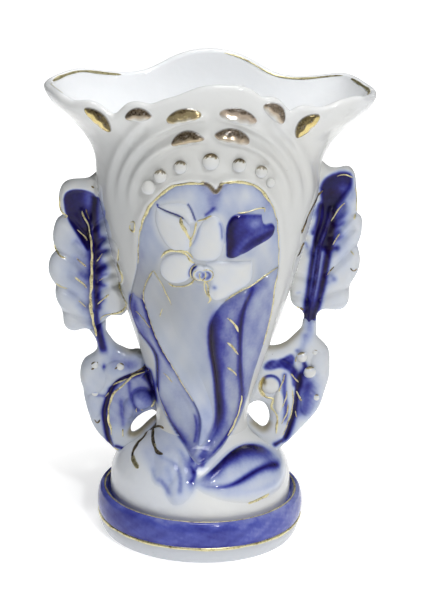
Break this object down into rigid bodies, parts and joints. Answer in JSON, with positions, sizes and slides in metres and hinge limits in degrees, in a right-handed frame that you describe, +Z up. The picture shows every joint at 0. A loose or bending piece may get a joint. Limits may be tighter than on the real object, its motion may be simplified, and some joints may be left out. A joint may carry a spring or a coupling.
{
  "type": "porcelain vase",
  "caption": "Flared mantel vase on a domed foot, with a waved lip, pierced leaf handles, raised flower and leaves on a heart panel, and an arch of pearls.",
  "frame": {"origin": "centre of the foot ring, on the surface that the vase stands on", "axes": "+Z up, the painted front faces -Y, +X towards the handle on the right as seen from the front"},
  "size_m": [0.149, 0.0976, 0.22],
  "materials": {
    "porcelain": "clear glaze over white porcelain",
    "pale_blue_wash": "thin blue wash under clear glaze",
    "cobalt_wash": "dark cobalt brushwork fading to white under clear glaze",
    "base_band_blue": "hand-painted blue band and white foot ring under clear glaze",
    "gilding": "bright gold lustre, worn in places"
  },
  "bodies": {
    "root": {"vase_body": "porcelain", "foot_dome": "porcelain", "foot_plinth": "base_band_blue", "heart_panel": "pale_blue_wash", "blade_leaf_left": "cobalt_wash", "blade_leaf_middle": "pale_blue_wash", "blade_leaf_right": "pale_blue_wash", "cobalt_leaf": "cobalt_wash", "flower_petal_top": "porcelain", "flower_petal_upper_left": "porcelain", "flower_bud_petal": "porcelain", "flower_petal_lower_left": "porcelain", "flower_petal_lower_right": "porcelain", "flower_eye": "gilding", "collar_ruffles": "gilding", "pearls": "porcelain", "foot_leaf": "cobalt_wash", "foot_bud": "pale_blue_wash", "left_handle_leaf": "cobalt_wash", "left_handle_scroll": "porcelain", "left_handle_berries": "porcelain", "right_handle_leaf": "cobalt_wash", "right_handle_scroll": "porcelain", "right_handle_berries": "porcelain"}
  },
  "joints": []
}
